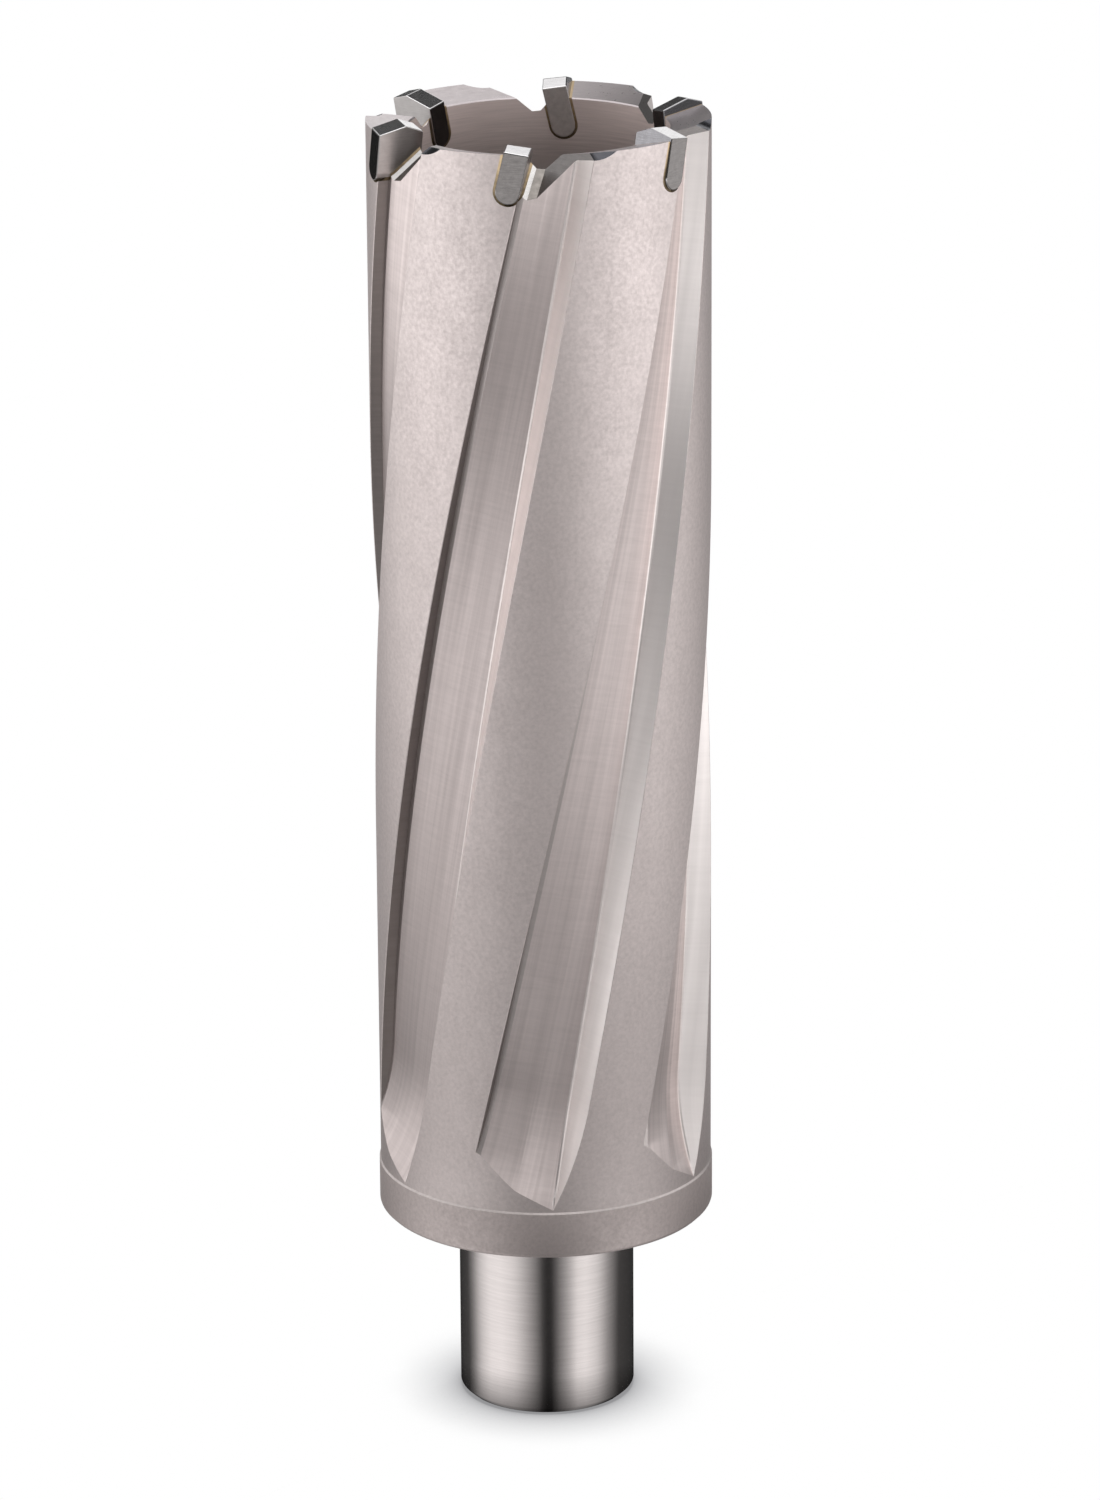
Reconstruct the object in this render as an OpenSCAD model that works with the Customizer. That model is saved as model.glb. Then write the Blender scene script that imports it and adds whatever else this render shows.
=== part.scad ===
// Annular cutter: a hollow fluted cutter body turned in one piece with its shank,
// with six carbide tips brazed into slots in the rim.
// The axis is Z. The shank end is at z = 0 and the teeth point up.
// Angles run from the -Y side towards +X, which is the way a tooth cuts.

/* [Shank] */
// Diameter of the ground shank
shank_d = 19.05; // [16:0.05:25]
// Length of the shank below the collar
shank_h = 21.8; // [16:0.1:60]
// Chamfer round the free end of the shank
shank_chamfer = 0.6; // [0.2:0.1:1.5]
// Depth of each clamping flat below the round of the shank
flat_depth = 1.5; // [0.5:0.1:2.5]
// Round stretch left between the free end and a clamping flat
flat_end = 4; // [2:0.5:6]
// Round stretch left between a clamping flat and the collar
flat_gap = 4; // [2:0.5:6]
// Angle between the two clamping flats, which face away from the front
flat_spread = 90; // [70:5:120]
// Diameter of the hole that guides the pilot pin
pilot_d = 6.4; // [5:0.1:8.4]
// Chamfer at the mouth of the pilot hole
pilot_chamfer = 0.4; // [0.2:0.1:1]

/* [Collar and body] */
// Height of the plain collar under the flutes
collar_h = 5.3; // [3:0.1:10]
// How far the collar stands out beyond the lands
collar_step = 0.15; // [0.05:0.05:0.4]
// Chamfer round the bottom of the collar
collar_chamfer = 0.5; // [0.2:0.1:1.5]
// Diameter of the fluted body over its lands
body_d = 36; // [32:0.5:60]
// Length of the fluted body, from the collar to the outer edge of the rim
flute_h = 115.2; // [70:0.2:130]
// Wall between the core and the lands
wall_t = 4.3; // [3.6:0.1:6]
// Solid web between the shank and the core
web_t = 10; // [7:0.5:16]
// Chamfer round the floor of the core
core_chamfer = 1; // [0.5:0.1:2]
// Slope of the rim, which falls inward, in degrees
rim_slope = 12; // [4:1:20]

/* [Flutes] */
// Number of teeth, each with a flute, a gullet and a tip of its own
tooth_count = 6; // [4:1:7]
// Angle of the front tooth's cutting edge at the rim
tooth_start = -3.7; // [-30:0.1:30]
// Twist of a flute's cutting wall over the fluted length, in degrees
flute_twist = 85.5; // [40:0.5:110]
// Width of a flute over the lands at the rim
flute_w_top = 7.1; // [5:0.1:9]
// Width of a flute over the lands at the collar
flute_w_low = 11.7; // [8:0.1:13]
// Depth of the cutting wall
rake_depth = 1.3; // [0.8:0.1:1.8]
// Width of the narrow ledge at the foot of the cutting wall
ledge_w = 0.6; // [0.3:0.1:1.2]
// Depth of a flute's deepest line at the rim
flute_d_top = 2.1; // [1.9:0.1:2.8]
// Depth of a flute's deepest line at the collar
flute_d_low = 2.8; // [2.2:0.1:3.2]
// Hollow of the floor between the ledge and the deepest line
floor_sag = 0.25; // [0:0.05:0.4]
// Lean of the far facet from the radial direction, in degrees
facet_lean = 32; // [15:1:50]
// Radius of the disc that cut the flutes, seen where they run out
runout_r = 25; // [15:1:60]
// Land left between the end of a flute and the collar
runout_gap = 0.2; // [0.1:0.1:2]

/* [Carbide tips] */
// Thickness of a tip along the cut
tip_t = 2.6; // [2:0.1:4]
// Height of a tip, from its round root to its outer corner
tip_h = 5.5; // [4.5:0.1:9]
// Rise of a tip's outer corner above the outer edge of the rim
tip_rise = 0.25; // [0.1:0.05:1]
// Distance from the outer corner to the peak of the cutting edge, on odd teeth
peak_outer = 1.8; // [1.2:0.1:2.2]
// Distance from the outer corner to the peak of the cutting edge, on even teeth
peak_inner = 2.9; // [2.4:0.1:3.6]
// Bevel of the cutting edge outside its peak, in degrees
bevel_outer = 15; // [5:1:25]
// Bevel of the cutting edge inside its peak, in degrees
bevel_inner = 20; // [5:1:30]
// How far a tip stands out beyond the lands
tip_out = 0.25; // [0.2:0.05:0.6]
// How far a tip stands into the core
tip_in = 0.3; // [0.25:0.05:0.6]
// How far a tip stands out of the cutting wall
tip_proud = 0.15; // [0.1:0.05:0.3]
// Clearance of a tip's side faces behind the cutting edge, in degrees
tip_clearance = 3; // [1:0.5:4]
// Clearance of a tip's top behind the cutting edge, in degrees
tip_relief = 6; // [2:1:12]
// Thickness of the braze round a tip
braze_t = 0.25; // [0.1:0.05:0.4]

/* [Gullets and rim] */
// Depth of a gullet's root below the rim's outer edge, at the core
gullet_depth = 2; // [1.4:0.1:3]
// Fall of a gullet's root towards the outside, in degrees
gullet_fall = 43; // [20:1:50]
// Width of the bevel between a tip's rake face and the gullet's root
gullet_bevel = 0.7; // [0.3:0.1:1.2]
// Height of that bevel
gullet_step = 0.4; // [0.1:0.1:0.8]
// Width of the gullet's root beyond the bevel
gullet_flat = 0.9; // [0.3:0.1:1.5]
// Rise of a gullet's far side, in degrees
gullet_rise = 48; // [35:1:60]
// Radius of the scoop in the rim at the far edge of each flute
scoop_r = 4; // [2.5:0.5:8]
// Depth of the scoop at the outer edge of the rim
scoop_depth = 0.8; // [0.4:0.1:1.2]
// Fall of the scoop towards the outside, in degrees
scoop_fall = 20; // [10:1:35]

/* [Hidden] */
$fn = 96;
// How far cutting shapes reach past the surface that they cut
reach = 3;
// Steps of a flute along its run-out and along its full depth
runout_steps = 10;
flute_steps = 34;

shank_r = shank_d / 2;
pilot_r = pilot_d / 2;
body_r = body_d / 2;
collar_r = body_r + collar_step;
core_r = body_r - wall_t;
collar_z = shank_h + collar_h;
rim_z = collar_z + flute_h;
core_z = shank_h + web_t;
rim_fall = wall_t * tan(rim_slope);
tooth_pitch = 360 / tooth_count;
degrees_per_mm = 180 / (PI * body_r);
flute_lean = flute_twist / (degrees_per_mm * flute_h);
helix = atan(flute_lean);
facet_run = tan(facet_lean);

// Points of a flute's section lie at these distances from the cutting edge, round the lands
floor_s = ledge_w;
deep_s = flute_w_low - flute_d_low * facet_run;
// A flute's cutting shape stands this far out of the lands, and its run-out ends this far from them
outside = 0.8;
clear_of_body = 0.3;
runout_z = collar_z + runout_gap + deep_s * flute_lean + sqrt(2 * runout_r * flute_d_low);
runout_end = runout_z - sqrt(2 * runout_r * (flute_d_low + clear_of_body));
flute_end = rim_z + reach + flute_w_low * flute_lean;

// The middle plane of a tip holds the axis, and its rake face stands proud of the cutting wall
tip_turn = asin((tip_t / 2 - tip_proud) / body_r);
tip_root_z = tip_rise - tip_h + tip_t / 2;
gullet_h = 9;

function tooth_angle(i) = tooth_start + (i - 1) * tooth_pitch;

// Values that change along the flute: share of the way down, width, depth and lift of the disc
function down(z) = (rim_z - z) / flute_h;
function flute_w(z) = flute_w_top + (flute_w_low - flute_w_top) * down(z);
function flute_d(z) = flute_d_top + (flute_d_low - flute_d_top) * down(z);
function lift(z) = z < runout_z ? (runout_z - z) * (runout_z - z) / (2 * runout_r) : 0;
function floor_r(z, depth) = body_r + min(lift(z) - depth, outside - clear_of_body);

// A flute's section at height z, as [distance from the cutting edge, radius] pairs
function flute_section(z) =
    let (
        far_s = flute_w(z) - flute_d(z) * facet_run,
        ridge_s = (floor_s + far_s) / 2,
        ridge_d = (rake_depth + flute_d(z)) / 2 + floor_sag,
        top_s = far_s + (flute_d(z) - lift(z) + outside) * facet_run
    ) [
        [0, body_r + outside],
        [0, floor_r(z, rake_depth)],
        [floor_s, floor_r(z, rake_depth)],
        [ridge_s, floor_r(z, ridge_d)],
        [far_s, floor_r(z, flute_d(z))],
        [top_s, body_r + outside],
        [top_s / 2, body_r + reach]
    ];

// The section lies square to the flute, so it drops along the way round
function on_flute(z, p) =
    let (
        own_z = z - p[0] * flute_lean,
        a = p[0] * degrees_per_mm - flute_twist * down(own_z)
    ) [p[1] * sin(a), -p[1] * cos(a), own_z];

flute_levels = concat(
    [for (k = [0 : runout_steps - 1]) runout_end + (runout_z - runout_end) * k / runout_steps],
    [for (k = [0 : flute_steps]) runout_z + (flute_end - runout_z) * k / flute_steps]
);

// One helical flute, cut from above the rim down to its run-out at the collar
module flute() {
    sides = 7;
    last = len(flute_levels) - 1;
    points = [for (z = flute_levels) for (p = flute_section(z)) on_flute(z, p)];
    walls = [
        for (j = [0 : last - 1]) for (k = [0 : sides - 1])
            let (
                a = j * sides + k,
                b = j * sides + (k + 1) % sides
            )
            each [[a, b, b + sides], [a, b + sides, a + sides]]
    ];
    bottom = [for (k = [sides - 1 : -1 : 0]) k];
    top = [for (k = [0 : sides - 1]) last * sides + k];
    polyhedron(points = points, faces = concat(walls, [bottom, top]), convexity = 6);
}

// Places its children at tooth i, with the cutting edge's foot at angle 0
module at_tooth(i) {
    rotate([0, 0, tooth_angle(i)]) children();
}

// Places its children at the tip of tooth i: X along the cut, -Y outward, Z along the leaning tip
module at_tip(i) {
    at_tooth(i)
        rotate([0, 0, -tip_turn])
            translate([0, 0, rim_z])
                rotate([0, helix, 0])
                    children();
}

// Outline of a tip seen from outside, grown by a margin and open upward
module tip_outline(margin) {
    half = tip_t / 2 + margin;
    translate([0, tip_root_z]) circle(r = half);
    translate([-half, tip_root_z]) square([2 * half, reach - tip_root_z]);
}

// Plan of a tip: its side faces draw in behind the cutting edge
module tip_plan() {
    half = tip_t / 2;
    draw_in = tip_t * tan(tip_clearance);
    polygon([
        [half, -body_r - tip_out],
        [half, -core_r + tip_in],
        [-half, -core_r + tip_in - draw_in],
        [-half, -body_r - tip_out + draw_in]
    ]);
}

// Extrudes a tip's outline outward through the wall
module through_wall() {
    translate([0, -core_r + reach, 0])
        rotate([90, 0, 0])
            linear_extrude(height = wall_t + 2 * reach)
                children();
}

module tip_slot(i) {
    at_tip(i) through_wall() tip_outline(braze_t);
}

// Side view of a tip: the cutting edge falls both ways from its peak
module tip_side(peak) {
    outer = body_r + tip_out;
    inner = core_r - tip_in;
    top = tip_rise + peak * tan(bevel_outer);
    polygon([
        [-outer - reach, -tip_h - reach],
        [-outer - reach, tip_rise - reach * tan(bevel_outer)],
        [-outer + peak, top],
        [-inner + reach, top - (outer - inner - peak + reach) * tan(bevel_inner)],
        [-inner + reach, -tip_h - reach]
    ]);
}

// Extrudes a tip's side view along the cut, with its top falling behind the cutting edge
module along_cut() {
    translate([tip_t / 2, 0, 0])
        rotate([0, -tip_relief, 0])
            rotate([90, 0, 90])
                translate([0, 0, -2 * tip_t])
                    linear_extrude(height = 3 * tip_t)
                        children();
}

module tip_solid(i) {
    at_tip(i)
        intersection() {
            through_wall() tip_outline(0);
            translate([0, 0, -tip_h]) linear_extrude(height = 2 * tip_h) tip_plan();
            along_cut() tip_side(i % 2 == 1 ? peak_outer : peak_inner);
        }
}

// The notch in front of a tip, whose root falls outward from the core; it starts inside the tip's slot
module gullet(i) {
    half = tip_t / 2;
    root = half + gullet_bevel + gullet_flat;
    far = root + gullet_h / (cos(gullet_fall) * tan(gullet_rise));
    length = reach + (wall_t + reach) / cos(gullet_fall);
    at_tip(i)
        translate([0, -core_r, -gullet_depth])
            rotate([90 + gullet_fall, 0, 0])
                translate([0, 0, -reach])
                    linear_extrude(height = length)
                        polygon([
                            [0, gullet_step],
                            [half, gullet_step],
                            [half + gullet_bevel, 0],
                            [root, 0],
                            [far, gullet_h],
                            [0, gullet_h]
                        ]);
}

// The hollow ground into the rim where a flute's far facet meets it
module scoop(i) {
    at_tooth(i)
        rotate([0, 0, flute_w_top * degrees_per_mm])
            translate([0, -body_r, rim_z - scoop_depth + scoop_r / cos(scoop_fall)])
                rotate([90 + scoop_fall, 0, 0])
                    cylinder(r = scoop_r, h = 4 * wall_t, center = true);
}

// Turned form of the cutter: shank, collar, lands, sloping rim, core and pilot hole
module turned_body() {
    rotate_extrude()
        polygon([
            [pilot_r + pilot_chamfer, 0],
            [shank_r - shank_chamfer, 0],
            [shank_r, shank_chamfer],
            [shank_r, shank_h],
            [collar_r - collar_chamfer, shank_h],
            [collar_r, shank_h + collar_chamfer],
            [collar_r, collar_z - collar_step],
            [body_r, collar_z],
            [body_r, rim_z],
            [core_r, rim_z - rim_fall],
            [core_r, core_z + core_chamfer],
            [core_r - core_chamfer, core_z],
            [pilot_r, core_z],
            [pilot_r, pilot_chamfer]
        ]);
}

// One of the two flats that the arbor's screws bear on
module clamping_flat(a) {
    rotate([0, 0, a])
        translate([-shank_d / 2, -shank_r - reach, flat_end])
            cube([shank_d, reach + flat_depth, shank_h - flat_end - flat_gap]);
}

// The wall under the rim, without its slots
module rim_ring() {
    foot_z = rim_z - 2 * tip_h;
    rotate_extrude()
        polygon([[core_r, foot_z], [body_r, foot_z], [body_r, rim_z], [core_r, rim_z - rim_fall]]);
}

// The cutter body, one piece from the shank to the rim
module cutter_body() {
    color("#b3aca7")
        difference() {
            turned_body();
            for (i = [1 : tooth_count]) {
                at_tooth(i) flute();
                tip_slot(i);
                gullet(i);
                scoop(i);
            }
            for (side = [-1, 1]) clamping_flat(180 + side * flat_spread / 2);
        }
}

// A carbide tip, which stands proud of the rim above, outside, inside and in front
module carbide_tip(i) {
    color("#4d4f55") tip_solid(i);
}

// The braze that fills the slot round a tip, flush with the body
module braze_seam(i) {
    color("#a5885b")
        intersection() {
            difference() {
                tip_slot(i);
                tip_solid(i);
                gullet(i);
                at_tooth(i) flute();
            }
            rim_ring();
        }
}

cutter_body();
for (i = [1 : tooth_count]) {
    carbide_tip(i);
    braze_seam(i);
}
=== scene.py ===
# Annular cutter: a smooth body and ground tips replace the plain solids, the braze seams keep theirs.
# Lengths are millimetres until a mesh is made; angles run from the -Y side towards +X.
import math

import bmesh
import bpy
from mathutils import Matrix, Vector


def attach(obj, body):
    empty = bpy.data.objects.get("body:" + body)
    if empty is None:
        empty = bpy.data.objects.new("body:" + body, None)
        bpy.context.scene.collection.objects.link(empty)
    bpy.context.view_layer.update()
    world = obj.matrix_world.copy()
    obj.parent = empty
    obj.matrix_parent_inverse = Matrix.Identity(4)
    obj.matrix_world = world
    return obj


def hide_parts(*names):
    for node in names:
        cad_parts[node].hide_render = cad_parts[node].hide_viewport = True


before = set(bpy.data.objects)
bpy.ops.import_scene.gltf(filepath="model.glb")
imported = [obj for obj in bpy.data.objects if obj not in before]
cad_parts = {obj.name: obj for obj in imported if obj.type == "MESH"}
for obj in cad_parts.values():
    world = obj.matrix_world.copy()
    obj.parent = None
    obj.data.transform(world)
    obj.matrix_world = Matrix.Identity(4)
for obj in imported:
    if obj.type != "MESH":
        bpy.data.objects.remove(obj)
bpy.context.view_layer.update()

MM = 0.001

# Sizes of the cutter
SHANK_R = 9.525
SHANK_H = 21.8
SHANK_CHAMFER = 0.6
FLAT_DEPTH = 1.5
FLAT_END = 4.0
FLAT_GAP = 4.0
FLAT_SPREAD = 90.0
PILOT_R = 3.2
PILOT_CHAMFER = 0.4
COLLAR_H = 5.3
COLLAR_STEP = 0.15
COLLAR_CHAMFER = 0.5
BODY_R = 18.0
FLUTE_H = 115.2
WALL_T = 4.3
WEB_T = 10.0
CORE_CHAMFER = 1.0
RIM_SLOPE = 12.0
TEETH = 6
TOOTH_START = -3.7
FLUTE_TWIST = 85.5
FLUTE_W_TOP = 7.1
FLUTE_W_LOW = 11.7
RAKE_DEPTH = 1.3
LEDGE_W = 0.6
FLUTE_D_TOP = 2.1
FLUTE_D_LOW = 2.8
FLOOR_SAG = 0.25
FACET_LEAN = 32.0
RUNOUT_R = 25.0
RUNOUT_GAP = 0.2
TIP_T = 2.6
TIP_H = 5.5
TIP_RISE = 0.25
TIP_PROUD = 0.15
BRAZE_T = 0.25
GULLET_DEPTH = 2.0
GULLET_FALL = 43.0
GULLET_BEVEL = 0.7
GULLET_STEP = 0.4
GULLET_FLAT = 0.9
GULLET_RISE = 48.0
GULLET_H = 9.0
SCOOP_R = 4.0
SCOOP_DEPTH = 0.8
SCOOP_FALL = 20.0
REACH = 3.0

# Broken edges and small fillets; the shares limit them where a flute is shallow
EDGE = 0.07
FAR_EDGE = 0.035
EDGE_SHARE = 0.25
TURNED_EDGE = 1.5 * EDGE
STEP_EDGE = 0.05
RIM_EDGE = 0.12
PILOT_EDGE = 0.15
TOE_FILLET = 0.22
TOE_SHARE = 0.4
TIP_EDGE = 0.1
TIP_EDGE_STEPS = 2

# The relief groove where the shank meets the collar
GROOVE_DEPTH = 0.1
GROOVE_START = 0.3
GROOVE_FULL = 0.25

COLLAR_R = BODY_R + COLLAR_STEP
CORE_R = BODY_R - WALL_T
COLLAR_Z = SHANK_H + COLLAR_H
RIM_Z = COLLAR_Z + FLUTE_H
CORE_Z = SHANK_H + WEB_T
PITCH = 360.0 / TEETH
DEG_PER_MM = 180.0 / (math.pi * BODY_R)
PITCH_S = PITCH / DEG_PER_MM
LEAN = FLUTE_TWIST / (DEG_PER_MM * FLUTE_H)
HELIX = math.degrees(math.atan(LEAN))
FACET_RUN = math.tan(math.radians(FACET_LEAN))
RIM_FALL = math.tan(math.radians(RIM_SLOPE))
DEEP_S = FLUTE_W_LOW - FLUTE_D_LOW * FACET_RUN
RUNOUT_Z = COLLAR_Z + RUNOUT_GAP + DEEP_S * LEAN + math.sqrt(2 * RUNOUT_R * FLUTE_D_LOW)
TIP_TURN = math.degrees(math.asin((TIP_T / 2 - TIP_PROUD) / BODY_R))
TIP_ROOT_Z = TIP_RISE - TIP_H + TIP_T / 2

# Heights of the body's rings: steps up to each height above the collar, closest where the flutes run out
RING_STEPS = ((1.5, 0.12), (16.0, 0.3), (FLUTE_H, 0.9))
TOP_RING_GAP = 0.8
CORE_TOP_GAP = 3.0
CORE_STEPS = 50

# Points across a flute and a land, and round the cutting shapes
FLUTE_BREAKS = 5
FAR_BREAK = 3
LEVEL_TRIES = 12
WALL_STEPS = 3
SPAN_STEPS = (2, 5, 5, 5)
LAND_STEPS = 22
SLOT_STEPS = 24
SCOOP_STEPS = 64
MERGE_GAP = 0.0008
TIP_MERGE_GAP = 0.001

# Place of the flute's far corner in a section
TOE_AT = WALL_STEPS + 1 + sum(SPAN_STEPS[:FAR_BREAK])

# Angles in degrees: edges that stay sharp, turns that count as flat and tip corners that are bevelled
BODY_SHARP = 28
TIP_SHARP = 8
FLAT_TURN = 1
TIP_CORNER = 30

# Zones of the body, one material slot each
(
    LAND, WALL, LEDGE, FLOOR, FLOOR_FAR, FACET, SHANK, CORE, RIM,
    SLOT, STRIP, ROOT, GULLET, SCOOP, STEP, TOE, COLLAR,
) = range(17)
SPAN_ZONES = (LEDGE, FLOOR, FLOOR_FAR, FACET)

# Sides of a tip, one material slot each, and how far a face leans towards the side it belongs to. The
# sides' tones are painted light: highlights on the tops and shade on the outsides.
TIP_FRONT, TIP_TOP, TIP_OUTSIDE, TIP_INSIDE, TIP_BACK = range(5)
UP_LIMIT = 0.6
SIDE_LIMIT = 0.8


def down(z):
    """Share of the way from the rim down to the collar."""
    return (RIM_Z - z) / FLUTE_H


def flute_width(z):
    return FLUTE_W_TOP + (FLUTE_W_LOW - FLUTE_W_TOP) * down(z)


def flute_depth(z):
    return FLUTE_D_TOP + (FLUTE_D_LOW - FLUTE_D_TOP) * down(z)


def lift(z):
    """How far the run-out has raised a flute's floor at height z."""
    return (RUNOUT_Z - z) ** 2 / (2 * RUNOUT_R) if z < RUNOUT_Z else 0.0


def breaks(z):
    """Distances and depths of a flute's break points at level z, without the run-out."""
    far = flute_width(z) - flute_depth(z) * FACET_RUN
    ridge = (LEDGE_W + far) / 2
    ridge_depth = (RAKE_DEPTH + flute_depth(z)) / 2 + FLOOR_SAG
    return [
        (0.0, RAKE_DEPTH),
        (LEDGE_W, RAKE_DEPTH),
        (ridge, ridge_depth),
        (far, flute_depth(z)),
        (flute_width(z), 0.0),
    ]


def level_breaks(z):
    """The same break points on a level section at height z, with the run-out taken off."""
    found = []
    for k in range(FLUTE_BREAKS):
        s = 0.0
        for _ in range(LEVEL_TRIES):
            s = breaks(z + s * LEAN)[k][0]
        level = z + s * LEAN
        found.append((s, breaks(level)[k][1] - lift(level)))
    return found


def clip(points):
    """Keeps the stretch of a section that is below the lands, with the same number of points."""
    crossings = []
    for (s0, d0), (s1, d1) in zip(points, points[1:]):
        if (d0 > 0) != (d1 > 0):
            crossings.append(s0 + (s1 - s0) * d0 / (d0 - d1))
    inside = [s for s, d in points if d > 0]
    if not inside:
        return None
    first = 0.0 if points[0][1] > 0 else crossings[0]
    last = crossings[-1] if crossings and crossings[-1] > inside[-1] else points[-1][0]
    return [(min(max(s, first), last), max(d, 0.0)) for s, d in points], first, last


def on_chord(s0, r0, s1, r1, share):
    """A point on the straight line between two points of a section."""
    a0 = math.radians(s0 * DEG_PER_MM)
    a1 = math.radians(s1 * DEG_PER_MM)
    x = r0 * math.sin(a0) * (1 - share) + r1 * math.sin(a1) * share
    y = r0 * math.cos(a0) * (1 - share) + r1 * math.cos(a1) * share
    return math.degrees(math.atan2(x, y)) / DEG_PER_MM, math.hypot(x, y)


def round_toe(row):
    """Rounds the corner where a flute's floor meets its far facet."""
    s, r = row[TOE_AT]
    sides = []
    for beside in (TOE_AT - 2, TOE_AT + 2):
        s_side, r_side = row[beside]
        length = math.hypot(s_side - s, r_side - r)
        share = min(TOE_FILLET / length, TOE_SHARE) if length > 0 else 0.0
        sides.append(on_chord(s, r, s_side, r_side, share))
    row[TOE_AT - 1], row[TOE_AT + 1] = sides
    s_mid, r_mid = on_chord(*sides[0], *sides[1], 0.5)
    row[TOE_AT] = on_chord(s, r, s_mid, r_mid, 0.5)


def section(z):
    """One tooth's worth of the level section at height z: (s, radius) pairs."""
    points = level_breaks(z)
    clipped = clip(points)
    if clipped is None:
        s_end = points[FAR_BREAK][0]
        kept, first, last = [(s_end, 0.0)] * FLUTE_BREAKS, s_end, s_end
    else:
        kept, first, last = clipped
    deepest = max(d for _, d in kept)
    edge = min(EDGE, deepest * EDGE_SHARE)
    wall = kept[0][1]
    row = [(first - edge, BODY_R)]
    for k in range(WALL_STEPS + 1):
        depth = edge + (wall - edge) * k / WALL_STEPS if wall > edge else wall
        row.append((first, BODY_R - depth))
    for (s0, d0), (s1, d1), steps in zip(kept, kept[1:], SPAN_STEPS):
        for k in range(1, steps + 1):
            row.append(on_chord(s0, BODY_R - d0, s1, BODY_R - d1, k / steps))
    round_toe(row)
    s_last, r_last = row[-1]
    far_edge = min(FAR_EDGE, edge)
    row[-1] = (s_last - far_edge * FACET_RUN, r_last - far_edge)
    start = last + far_edge
    stop = PITCH_S + first - edge
    for k in range(LAND_STEPS):
        row.append((start + (stop - start) * k / LAND_STEPS, BODY_R))
    return row


def tooth_edge(z):
    """Angle of the first tooth's cutting wall at height z, in degrees."""
    return TOOTH_START - FLUTE_TWIST * down(z)


ROW_LENGTH = len(section(RIM_Z))


def row_zones():
    """The zone of each point of a section and the stretch after it."""
    zones = [LAND] + [WALL] * WALL_STEPS
    for steps, zone in zip(SPAN_STEPS, SPAN_ZONES):
        zones += [zone] * steps
    zones[TOE_AT - 1] = TOE
    zones[TOE_AT] = TOE
    zones += [LAND] * (ROW_LENGTH - len(zones))
    return zones


def section_point(tooth, s, r, z):
    """Where a point of a tooth's section lies at height z."""
    angle = math.radians(tooth_edge(z) + tooth * PITCH + s * DEG_PER_MM)
    return r * math.sin(angle), -r * math.cos(angle), z


def ring(z):
    """All the teeth's points at height z."""
    row = section(z)
    return [section_point(tooth, s, r, z) for tooth in range(TEETH) for s, r in row]


def rim_ring():
    """The top of the fluted wall, which lies on the sloping rim."""
    row = [(s, r, RIM_Z - (BODY_R - r) * RIM_FALL) for s, r in section(RIM_Z)]
    return [section_point(tooth, s, r, z) for tooth in range(TEETH) for s, r, z in row]


def round_ring(points, radius, z):
    """The points of a ring moved to one radius and height."""
    out = []
    for x, y, _ in points:
        scale = radius / math.hypot(x, y)
        out.append((x * scale, y * scale, z))
    return out


def levels():
    """Heights of the rings up the fluted wall."""
    found = []
    z = COLLAR_Z
    while z < RIM_Z - TOP_RING_GAP:
        found.append(z)
        z += next(step for reach, step in RING_STEPS if z - COLLAR_Z < reach)
    found.append(RIM_Z - TOP_RING_GAP)
    return found


def make_object(name, verts, faces, zones, materials):
    mesh = bpy.data.meshes.new(name)
    mesh.from_pydata([Vector(v) * MM for v in verts], [], faces)
    for material in materials:
        mesh.materials.append(material)
    mesh.polygons.foreach_set("material_index", zones)
    mesh.update()
    made = bpy.data.objects.new(name, mesh)
    bpy.context.collection.objects.link(made)
    return made


def clean(made):
    """Joins points that fall together and turns all faces outward."""
    work = bmesh.new()
    work.from_mesh(made.data)
    bmesh.ops.remove_doubles(work, verts=work.verts, dist=MERGE_GAP * MM)
    bmesh.ops.dissolve_degenerate(work, dist=MERGE_GAP * MM, edges=work.edges)
    bmesh.ops.recalc_face_normals(work, faces=work.faces)
    work.to_mesh(made.data)
    work.free()


def apply_modifiers(made):
    graph = bpy.context.evaluated_depsgraph_get()
    mesh = bpy.data.meshes.new_from_object(made.evaluated_get(graph), depsgraph=graph)
    old = made.data
    made.modifiers.clear()
    made.data = mesh
    bpy.data.meshes.remove(old)


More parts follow.
